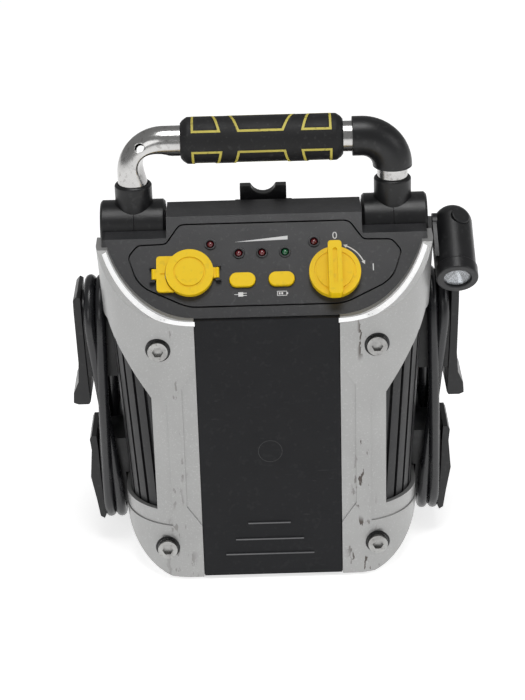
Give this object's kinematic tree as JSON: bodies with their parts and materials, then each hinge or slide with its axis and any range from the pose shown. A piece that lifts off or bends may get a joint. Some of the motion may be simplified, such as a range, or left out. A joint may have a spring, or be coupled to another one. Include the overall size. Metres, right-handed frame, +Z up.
{
  "type": "jump starter pack",
  "caption": "Portable vehicle jump starter with a folding tube handle, sloping control panel, tilting work light, side cable cleats and wound battery leads.",
  "frame": {"origin": "middle of the base, on the surface it stands on", "axes": "+Z up, the control panel faces -Y, +X to the right seen from the front"},
  "size_m": [0.2979, 0.1857, 0.3328],
  "materials": {
    "battery_grey": "battery case",
    "black_plastic": "fine moulded texture",
    "board_green": "circuit board",
    "brass": "plated contact",
    "chrome_tube": "bright steel tube",
    "clamp_black": "black insulated lever",
    "clamp_red": "red insulated lever",
    "clear_lens": "clear lamp window",
    "green_lens": "green indicator lens",
    "grip_rubber": "soft grip with yellow inlay lines",
    "lead_black": "smooth black cable jacket",
    "link_red": "red cable jacket",
    "red_lens": "red indicator lens",
    "reflector_metal": "bright reflector",
    "silver_plastic": "metallic silver paint on plastic",
    "steel": "plain steel",
    "yellow_plastic": "satin yellow moulding",
    "zinc_bolt": "zinc-plated socket screw"
  },
  "bodies": {
    "case": {"alarm_buzzer": "black_plastic", "armour_bolts": "zinc_bolt", "base_plate": "black_plastic", "battery": "battery_grey", "battery_terminals": "brass", "battery_tray": "steel", "case_screws": "steel", "charge_jack": "brass", "clamp_pins": "steel", "clamp_posts": "black_plastic", "clamp_springs": "steel", "control_fascia": "black_plastic", "control_hood": "black_plastic", "cover_hinges": "black_plastic", "front_case": "black_plastic", "front_panel": "black_plastic", "green_indicator": "green_lens", "handle_axles": "steel", "lamp_bracket": "black_plastic", "lamp_screw": "steel", "lead_glands": "black_plastic", "left_armour": "silver_plastic", "left_clamp_lever": "clamp_black", "left_lead_coil": "lead_black", "left_lead_ends": "lead_black", "left_lower_cleat": "black_plastic", "left_upper_cleat": "black_plastic", "main_board": "board_green", "outlet_socket": "steel", "panel_board": "board_green", "power_links": "link_red", "power_switch": "black_plastic", "rear_case": "black_plastic", "rear_cradle": "black_plastic", "red_indicators": "red_lens", "right_armour": "silver_plastic", "right_clamp_lever": "clamp_red", "right_lead_coil": "lead_black", "right_lead_ends": "lead_black", "right_lower_cleat": "black_plastic", "right_upper_cleat": "black_plastic", "usb_port": "steel"},
    "handle": {"handle_tube": "chrome_tube", "handle_grip": "grip_rubber", "elbow_cover": "black_plastic", "handle_collars": "black_plastic", "handle_hubs": "black_plastic"},
    "knob": {"power_knob": "yellow_plastic"},
    "port_key": {"port_button": "yellow_plastic"},
    "status_key": {"status_button": "yellow_plastic"},
    "outlet_lid": {"outlet_cap": "yellow_plastic"},
    "port_lid": {"port_flap": "yellow_plastic"},
    "charge_lid": {"charge_cover": "black_plastic"},
    "lamp": {"lamp_body": "black_plastic", "lamp_bezel": "black_plastic", "lamp_reflector": "reflector_metal", "lamp_lens": "clear_lens"},
    "lamp_key": {"lamp_button": "black_plastic"},
    "right_jaw": {"right_clamp_jaw": "clamp_red"},
    "left_jaw": {"left_clamp_jaw": "clamp_black"}
  },
  "joints": [
    {"name": "handle_fold", "type": "hinge", "parent": "case", "child": "handle", "pos_m": [0, 0, 0.251], "axis": [-1, 0, 0], "range_deg": [0, 90]},
    {"name": "knob_turn", "type": "hinge", "parent": "case", "child": "knob", "pos_m": [0.0492, -0.05659, 0.23367], "axis": [0, 0.7431, -0.6691], "range_deg": [0, 90]},
    {"name": "port_press", "type": "slide", "parent": "case", "child": "port_key", "axis": [0, 0.7431, -0.6691], "range_m": [0, 0.0014], "stiffness_N_per_m": 900, "springref_m": -0.001},
    {"name": "status_press", "type": "slide", "parent": "case", "child": "status_key", "axis": [0, 0.7431, -0.6691], "range_m": [0, 0.0014], "stiffness_N_per_m": 900, "springref_m": -0.001},
    {"name": "outlet_cap_open", "type": "hinge", "parent": "case", "child": "outlet_lid", "pos_m": [-0.034, -0.05633, 0.2368], "axis": [0, 0.6691, 0.7431], "range_deg": [0, 110]},
    {"name": "port_flap_open", "type": "hinge", "parent": "case", "child": "port_lid", "pos_m": [-0.079, -0.0565, 0.23661], "axis": [0, -0.6691, -0.7431], "range_deg": [0, 95]},
    {"name": "charge_cover_open", "type": "hinge", "parent": "case", "child": "charge_lid", "pos_m": [-0.03, 0.082, 0.172], "axis": [1, 0, 0], "range_deg": [0, 100]},
    {"name": "lamp_tilt", "type": "hinge", "parent": "case", "child": "lamp", "pos_m": [0.1372, 0, 0.246], "axis": [-1, 0, 0], "range_deg": [-4, 120]},
    {"name": "lamp_press", "type": "slide", "parent": "lamp", "child": "lamp_key", "axis": [-0.342, 0.4698, -0.8138], "range_m": [0, 0.0008], "stiffness_N_per_m": 600, "springref_m": -0.001},
    {"name": "right_clamp_open", "type": "hinge", "parent": "case", "child": "right_jaw", "pos_m": [0.072, 0.093, 0.14], "axis": [0, -1, 0], "range_deg": [0, 25], "stiffness_Nm_per_rad": 2, "springref_deg": -17.19},
    {"name": "left_clamp_open", "type": "hinge", "parent": "case", "child": "left_jaw", "pos_m": [-0.072, 0.093, 0.14], "axis": [0, 1, 0], "range_deg": [0, 25], "stiffness_Nm_per_rad": 2, "springref_deg": -17.19}
  ]
}
